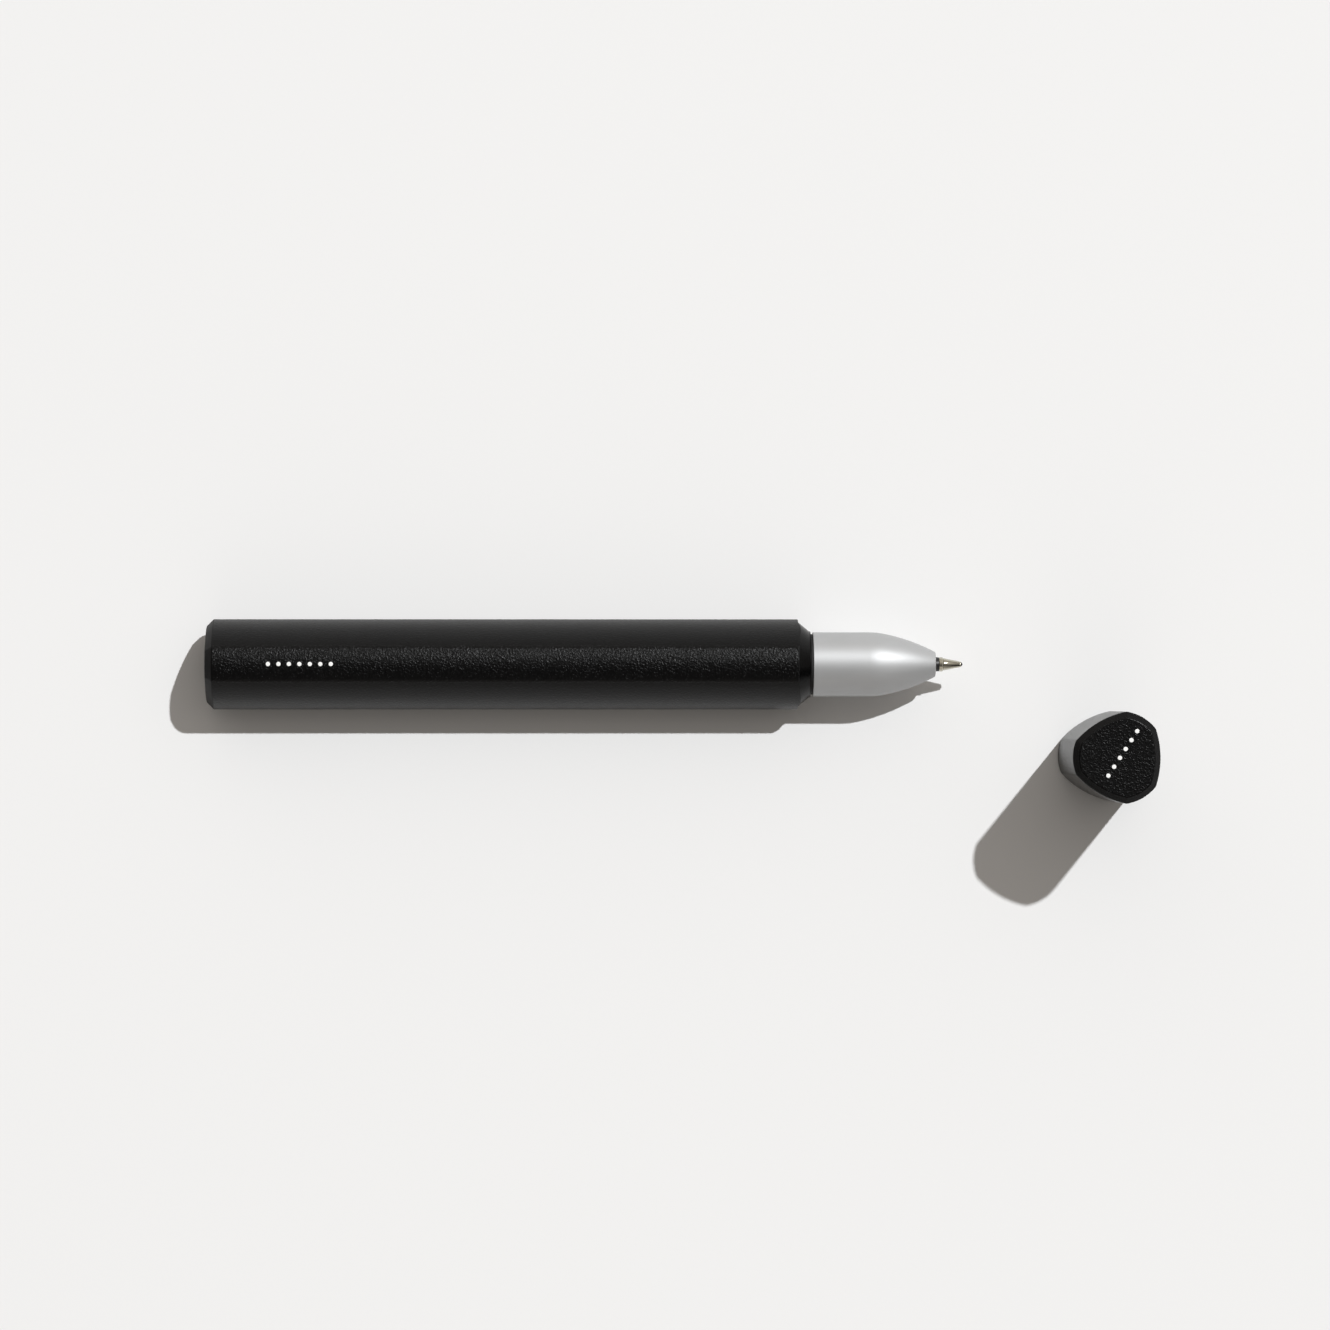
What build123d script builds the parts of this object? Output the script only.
from build123d import *
import os
from math import asin, cos, degrees, pi, radians, sin

# A capped rolling-ball pen with a three-sided barrel, lying on one of its flats,
# and its cap, taken off and stood upright on its open end beside the point.
#
# Each pen piece is drawn on the pen's own axis: X runs from the tail to the point,
# x = 0 is the barrel's front shoulder, and one ridge of the section points up.
# Each cap piece is drawn standing up: z is the depth from the cap's rim.
# The last section puts both on the ground and moves the origin to the middle of the
# ground under the whole, where z = 0.

# ---------------------------------------------------------------- driving dimensions, mm
# The three-sided section that barrel and cap share: a circle with three crowned flats
RIDGE_RADIUS = 7.27
FLAT_RADIUS = 6.42
CROWN_RADIUS = 14.35
CORNER_BLEND = 1.2
EDGE_ROUND = 0.3
EDGE_BREAK = 0.15

# Barrel
BARREL_LENGTH = 94.0
BARREL_BEVEL = 1.15
REAR_WALL = 1.8
BARREL_BORE = 4.0
BUSH_BORE = 4.6
BUSH_DEPTH = 8.5

# Turned cone at the barrel's front, which the cap's mouth fits
CONE_BASE = 6.7
CONE_END = 5.25
CONE_LENGTH = 1.76
BARREL_FRONT = 1.94

# Screw joint of the nose
THREAD_RADIUS = 3.85
THREAD_CLEARANCE = 0.05
THREAD_LENGTH = 7.0
THREAD_RELIEF = 0.3
THREAD_LEAD = 0.4
NIPPLE_BORE = 3.25
NIPPLE_SEAT = 4.2
NIPPLE_SEAT_LENGTH = 5.7
SEAL_THICKNESS = 0.38
SEAL_RADIUS = 4.8

# Silver nose: a cylinder, a short blend and a long ogive
NOSE_RADIUS = 5.09
NOSE_LENGTH = 19.55
NOSE_STRAIGHT = 9.04
NOSE_BLEND = 11.5
NOSE_BLEND_TURN = 11.0
NOSE_OGIVE = 30.0
NOSE_EDGE = 0.08
NOSE_MOUTH = 1.3

# Refill: a plastic tube with a stepped plastic front and a metal point
REFILL_RADIUS = 3.05
REFILL_BORE = 2.6
REFILL_TAIL = -83.5
REFILL_SHOULDER = 18.6
INK_GAP = 0.02
HOLDER_JOINT = 8.0
HOLDER_PLUG = 5.0
HOLDER_FLANGE = 1.5
HOLDER_TAPER = 4.0
HOLDER_NECK = 2.0
HOLDER_NOSE = 1.13
HOLDER_FRONT = 22.43
HOLDER_BORE = 0.95
INK_TAIL = -64.0
FOLLOWER_LENGTH = 6.0
PLUG_SPIGOT = 3.5
PLUG_FLANGE = 1.2
PLUG_VENT = 0.5

# Metal point and its ball
POINT_STEM = 0.6
POINT_STEM_LENGTH = 5.0
POINT_COLLAR = 1.15
POINT_COLLAR_LENGTH = 0.63
POINT_CONE_BASE = 0.97
POINT_LIP = 0.40
POINT_END = 25.98
POINT_BORE = 0.28
BALL_RADIUS = 0.35
BALL_CLEARANCE = 0.015
BALL_SETBACK = 0.13

# Cup and spring behind the refill
CUP_RADIUS = 3.88
CUP_FLOOR = 1.7
CUP_SKIRT = 4.5
CUP_CLEARANCE = 0.08
CUP_BOSS = 2.7
CUP_BOSS_LENGTH = 1.0
CUP_VENT = 0.8
SPRING_RADIUS = 3.2
SPRING_WIRE = 0.2
SPRING_COILS = 5.5

# Cap
CAP_HEIGHT = 30.2
CAP_BEVEL = 0.95
CAP_BORE = 5.6
CAP_TOP_WALL = 3.2
LINER_BORE = 5.28
LINER_START = 1.6
LINER_STRAIGHT_END = 13.5
LINER_SHOULDER = 14.5
LINER_CONE_END = 22.3
LINER_CONE_END_RADIUS = 2.4
LINER_BACK_RADIUS = 3.2
LINER_TIP_BORE = 1.7
SNAP_RADIUS = 4.95
SNAP_HALF_WIDTH = 0.5
FINGER_COUNT = 6
FINGER_SLOT = 0.5
FINGER_LENGTH = 5.0
SEAL_PAD_THICKNESS = 0.9

# Where the standing cap's axis is, from the barrel's shoulder and the pen's axis
CAP_FROM_SHOULDER = 49.15
CAP_FROM_AXIS = -14.65

# ---------------------------------------------------------------- derived places
RIDGES = 3
TOLERANCE = 1e-4
CONE_SLOPE = (CONE_BASE - CONE_END) / CONE_LENGTH
NOSE_START = BARREL_FRONT + SEAL_THICKNESS
NOSE_END = NOSE_START + NOSE_LENGTH
BUSH_INNER = THREAD_RADIUS + THREAD_CLEARANCE
BALL_CENTRE = POINT_END - BALL_SETBACK
BORE_END = REAR_WALL - BARREL_LENGTH
TAIL_END = REFILL_TAIL - PLUG_FLANGE
CUP_BACK = TAIL_END - CUP_FLOOR
CAP_FLOOR = CAP_HEIGHT - CAP_TOP_WALL
SNAP_DEPTH = BARREL_FRONT + SEAL_THICKNESS / 2
INNER_RADIUS = REFILL_BORE - INK_GAP


# ---------------------------------------------------------------- shared shapes
def turned(*profile):
    """A solid turned about X from its half section, given as (x, radius) points."""
    return revolve(make_face(Polyline(*profile, close=True)), Axis.X)


def tube(start, end, outer, inner):
    """A plain round tube along X."""
    return turned((start, inner), (end, inner), (end, outer), (start, outer))


def rod(start, end, radius):
    """A plain round rod along X."""
    return turned((start, 0), (end, 0), (end, radius), (start, radius))


def section():
    """The three-sided outline in the XY plane, with one ridge along +X."""
    outline = Circle(RIDGE_RADIUS)
    offset = CROWN_RADIUS - FLAT_RADIUS
    for side in range(RIDGES):
        ridge = 2 * pi * side / RIDGES
        outline &= Pos(offset * cos(ridge), offset * sin(ridge)) * Circle(CROWN_RADIUS)
    return fillet(outline.vertices(), CORNER_BLEND)


def bevelled_bar(length, bevel):
    """A bar of the three-sided section from z = 0 up, with a softened bevel round its top."""
    bar = extrude(section(), length)
    bar = chamfer(bar.faces().sort_by(Axis.Z)[-1].edges(), bevel)
    bar = fillet(bar.faces().sort_by(Axis.Z)[-1].edges(), EDGE_ROUND)
    bevel_foot = Plane.XY.offset(length - bevel)
    shoulder = [edge for edge in bar.edges() if on_plane(edge, bevel_foot)]
    return fillet(shoulder, EDGE_ROUND)


def on_plane(edge, plane):
    """Whether an edge lies in a plane from end to end."""
    heights = [abs(plane.to_local_coords(edge @ t).Z) for t in (0, 0.5, 1)]
    return max(heights) < TOLERANCE


# ---------------------------------------------------------------- barrel
def barrel_shell():
    """Three-sided barrel, closed at the tail, with a turned cone at its front."""
    bar = bevelled_bar(BARREL_LENGTH + BARREL_FRONT, BARREL_BEVEL)
    bar = Pos(BARREL_FRONT, 0, 0) * Rot(0, -90, 0) * bar
    beyond = 2 * RIDGE_RADIUS
    broken_edge = RIDGE_RADIUS - EDGE_BREAK
    turning = turned(
        (-BARREL_LENGTH, 0),
        (-BARREL_LENGTH, beyond),
        (broken_edge - beyond, beyond),
        (0, broken_edge),
        (0, CONE_BASE),
        (CONE_LENGTH, CONE_END),
        (BARREL_FRONT, CONE_END),
        (BARREL_FRONT, 0),
    )
    bores = rod(BORE_END, BARREL_FRONT, BARREL_BORE) + rod(-BUSH_DEPTH, BARREL_FRONT, BUSH_BORE)
    return (bar & turning) - bores


def front_bush():
    """Brass bush in the barrel's front. Its thread is a plain bore at the major radius."""
    return turned(
        (-BUSH_DEPTH, BUSH_INNER),
        (BARREL_FRONT - THREAD_RELIEF, BUSH_INNER),
        (BARREL_FRONT, BUSH_INNER + THREAD_RELIEF),
        (BARREL_FRONT, BUSH_BORE),
        (-BUSH_DEPTH, BUSH_BORE),
    )


def cushion_spring():
    """Compression spring between the barrel's closed end and the cup."""
    length = CUP_BACK - BORE_END - 2 * SPRING_WIRE
    coil = Helix(length / SPRING_COILS, length, SPRING_RADIUS)
    wire = sweep(Plane(coil @ 0, z_dir=coil % 0) * Circle(SPRING_WIRE), coil)
    return Pos(BORE_END + SPRING_WIRE, 0, 0) * Rot(0, 90, 0) * wire


# ---------------------------------------------------------------- nose
def seal_ring():
    """Flat rubber ring in the groove between the barrel and the nose."""
    return tube(BARREL_FRONT, NOSE_START, SEAL_RADIUS, THREAD_RADIUS + THREAD_CLEARANCE)


def nose_outline():
    """The nose's outside from its back edge to its front, as one smooth line."""
    edge = Line((NOSE_START, NOSE_RADIUS - NOSE_EDGE), (NOSE_START + NOSE_EDGE, NOSE_RADIUS))
    straight = Line(edge @ 1, (NOSE_START + NOSE_STRAIGHT, NOSE_RADIUS))
    blend = JernArc(straight @ 1, straight % 1, NOSE_BLEND, -NOSE_BLEND_TURN)
    run = NOSE_END - NOSE_EDGE - (blend @ 1).X
    end_turn = degrees(asin(sin(radians(NOSE_BLEND_TURN)) + run / NOSE_OGIVE))
    ogive = JernArc(blend @ 1, blend % 1, NOSE_OGIVE, NOSE_BLEND_TURN - end_turn)
    lip = Line(ogive @ 1, (NOSE_END, (ogive @ 1).Y - 2 * NOSE_EDGE))
    return edge + straight + blend + ogive + lip


def nose_cone():
    """Bullet-shaped nose: hollow for the nipple, the refill's front and its point."""
    outside = nose_outline()
    bore_end = REFILL_SHOULDER - HOLDER_TAPER
    neck = HOLDER_NECK + CUP_CLEARANCE
    inside = Polyline(
        outside @ 1,
        (NOSE_END, NOSE_MOUTH),
        (REFILL_SHOULDER, NOSE_MOUTH),
        (REFILL_SHOULDER, neck),
        (bore_end, neck),
        (HOLDER_JOINT + HOLDER_TAPER, NIPPLE_BORE),
        (NOSE_START + NIPPLE_SEAT_LENGTH, NIPPLE_BORE),
        (NOSE_START + NIPPLE_SEAT_LENGTH, NIPPLE_SEAT),
        (NOSE_START, NIPPLE_SEAT),
        outside @ 0,
    )
    return revolve(make_face(outside + inside), Axis.X)


def thread_nipple():
    """Brass tube pressed into the nose. Its thread is a plain cylinder at the major radius."""
    thread_start = BARREL_FRONT - THREAD_LENGTH
    root = THREAD_RADIUS - THREAD_RELIEF
    seat_end = NOSE_START + NIPPLE_SEAT_LENGTH
    return turned(
        (thread_start, NIPPLE_BORE),
        (thread_start, THREAD_RADIUS - THREAD_LEAD / 2),
        (thread_start + THREAD_LEAD, THREAD_RADIUS),
        (BARREL_FRONT - 2 * THREAD_RELIEF, THREAD_RADIUS),
        (BARREL_FRONT - 2 * THREAD_RELIEF, root),
        (BARREL_FRONT, root),
        (BARREL_FRONT, THREAD_RADIUS),
        (NOSE_START, THREAD_RADIUS),
        (NOSE_START, NIPPLE_SEAT),
        (seat_end, NIPPLE_SEAT),
        (seat_end, NIPPLE_BORE),
    )


# ---------------------------------------------------------------- refill
def refill_tube():
    """Clear plastic ink tube."""
    return tube(REFILL_TAIL, HOLDER_JOINT, REFILL_RADIUS, REFILL_BORE)


def ink_column():
    """Ink that fills the tube and the holder's channel up to the metal point."""
    plug_start = HOLDER_JOINT - HOLDER_PLUG
    channel = HOLDER_BORE - INK_GAP
    return rod(INK_TAIL, plug_start, INNER_RADIUS) + rod(plug_start, channel_end(), channel)


def channel_end():
    """Where the holder's wide channel stops and the point's stem begins."""
    return HOLDER_FRONT - POINT_STEM_LENGTH


def ink_follower():
    """Clear grease plug that follows the ink."""
    return rod(INK_TAIL - FOLLOWER_LENGTH, INK_TAIL, INNER_RADIUS)


def tail_plug():
    """Vented plug that closes the tube's tail."""
    spigot_end = REFILL_TAIL + PLUG_SPIGOT
    return turned(
        (TAIL_END, PLUG_VENT),
        (spigot_end, PLUG_VENT),
        (spigot_end, INNER_RADIUS),
        (REFILL_TAIL, INNER_RADIUS),
        (REFILL_TAIL, REFILL_RADIUS),
        (TAIL_END, REFILL_RADIUS),
    )


def centring_cup():
    """Plastic cup that carries the refill's tail on the barrel's axis and seats the spring."""
    skirt_end = TAIL_END + CUP_SKIRT
    skirt_bore = REFILL_RADIUS + CUP_CLEARANCE
    return turned(
        (CUP_BACK - CUP_BOSS_LENGTH, CUP_VENT),
        (TAIL_END, CUP_VENT),
        (TAIL_END, skirt_bore),
        (skirt_end, skirt_bore),
        (skirt_end, CUP_RADIUS),
        (CUP_BACK, CUP_RADIUS),
        (CUP_BACK, CUP_BOSS),
        (CUP_BACK - CUP_BOSS_LENGTH, CUP_BOSS),
    )


def tip_holder():
    """Stepped black plastic front of the refill, which seats in the nose."""
    plug_start = HOLDER_JOINT - HOLDER_PLUG
    flange_end = HOLDER_JOINT + HOLDER_FLANGE
    shoulder = REFILL_SHOULDER - INK_GAP
    return turned(
        (plug_start, HOLDER_BORE),
        (channel_end(), HOLDER_BORE),
        (channel_end(), POINT_STEM),
        (HOLDER_FRONT, POINT_STEM),
        (HOLDER_FRONT, HOLDER_NOSE),
        (shoulder, HOLDER_NOSE),
        (shoulder, HOLDER_NECK),
        (flange_end + HOLDER_TAPER, HOLDER_NECK),
        (flange_end, REFILL_RADIUS),
        (HOLDER_JOINT, REFILL_RADIUS),
        (HOLDER_JOINT, INNER_RADIUS),
        (plug_start, INNER_RADIUS),
    )


def writing_tip():
    """Polished metal point: stem, collar and cone, bored for ink, with a socket for the ball."""
    collar_end = HOLDER_FRONT + POINT_COLLAR_LENGTH
    body = turned(
        (channel_end(), POINT_BORE),
        (POINT_END, POINT_BORE),
        (POINT_END, POINT_LIP),
        (collar_end, POINT_CONE_BASE),
        (collar_end, POINT_COLLAR),
        (HOLDER_FRONT, POINT_COLLAR),
        (HOLDER_FRONT, POINT_STEM),
        (channel_end(), POINT_STEM),
    )
    return body - Pos(BALL_CENTRE, 0, 0) * Sphere(BALL_RADIUS + BALL_CLEARANCE)


def writing_ball():
    """Hard ball in the point's socket."""
    return Pos(BALL_CENTRE, 0, 0) * Sphere(BALL_RADIUS)


# ---------------------------------------------------------------- cap
def upright(solid):
    """Turns a solid drawn along X so that its x becomes the height z."""
    return Rot(0, -90, 0) * solid


def cap_shell():
    """Three-sided cap with a countersunk mouth that fits the barrel's cone."""
    bar = Rot(0, 0, 180) * bevelled_bar(CAP_HEIGHT, CAP_BEVEL)
    countersink = (CONE_BASE - CAP_BORE) / CONE_SLOPE
    hollow = turned(
        (0, 0),
        (0, CONE_BASE),
        (countersink, CAP_BORE),
        (CAP_FLOOR, CAP_BORE),
        (CAP_FLOOR, 0),
    )
    edge_cut = turned(
        (0, RIDGE_RADIUS - EDGE_BREAK),
        (RIDGE_RADIUS, 2 * RIDGE_RADIUS - EDGE_BREAK),
        (0, 2 * RIDGE_RADIUS - EDGE_BREAK),
    )
    return bar - upright(hollow) - upright(edge_cut)


def inner_cap():
    """Moulded liner: snap fingers at the mouth, then a cone that follows the nose."""
    body = turned(
        (LINER_START, LINER_BORE),
        (SNAP_DEPTH - SNAP_HALF_WIDTH, LINER_BORE),
        (SNAP_DEPTH, SNAP_RADIUS),
        (SNAP_DEPTH + SNAP_HALF_WIDTH, LINER_BORE),
        (LINER_STRAIGHT_END, LINER_BORE),
        (LINER_CONE_END, LINER_CONE_END_RADIUS),
        (LINER_CONE_END, LINER_TIP_BORE),
        (CAP_FLOOR, LINER_TIP_BORE),
        (CAP_FLOOR, LINER_BACK_RADIUS),
        (LINER_CONE_END, LINER_BACK_RADIUS),
        (LINER_SHOULDER, CAP_BORE),
        (LINER_START, CAP_BORE),
    )
    slot = Box(FINGER_LENGTH, FINGER_SLOT, CAP_BORE - SNAP_RADIUS + FINGER_SLOT)
    slot = Pos(LINER_START + FINGER_LENGTH / 2, 0, (CAP_BORE + SNAP_RADIUS) / 2) * slot
    for finger in range(FINGER_COUNT):
        body -= Rot(360 * finger / FINGER_COUNT, 0, 0) * slot
    return upright(body)


def tip_seal():
    """Soft pad at the bottom of the cap, where the ball rests when the pen is capped."""
    return upright(rod(CAP_FLOOR - SEAL_PAD_THICKNESS, CAP_FLOOR, LINER_TIP_BORE))


# ---------------------------------------------------------------- assembly
PEN_PIECES = [
    barrel_shell,
    front_bush,
    cushion_spring,
    seal_ring,
    nose_cone,
    thread_nipple,
    refill_tube,
    ink_column,
    ink_follower,
    tail_plug,
    centring_cup,
    tip_holder,
    writing_tip,
    writing_ball,
]
CAP_PIECES = [cap_shell, inner_cap, tip_seal]


def main():
    os.makedirs("parts", exist_ok=True)
    outline = section().bounding_box()
    half_width = outline.max.Y
    middle_x = (CAP_FROM_SHOULDER + FLAT_RADIUS - BARREL_LENGTH) / 2
    middle_y = CAP_FROM_AXIS / 2
    pen_place = Pos(-middle_x, -middle_y, FLAT_RADIUS)
    cap_place = Pos(CAP_FROM_SHOULDER - middle_x, CAP_FROM_AXIS - middle_y, 0)
    for place, pieces in ((pen_place, PEN_PIECES), (cap_place, CAP_PIECES)):
        for piece in pieces:
            solid = place * piece()
            solid.label = piece.__name__
            export_step(solid, f"parts/{piece.__name__}.step")
    print("half width of the section", round(half_width, 3))
    print("barrel shoulder at x", round(-middle_x, 3), "pen axis at y", round(-middle_y, 3))


main()
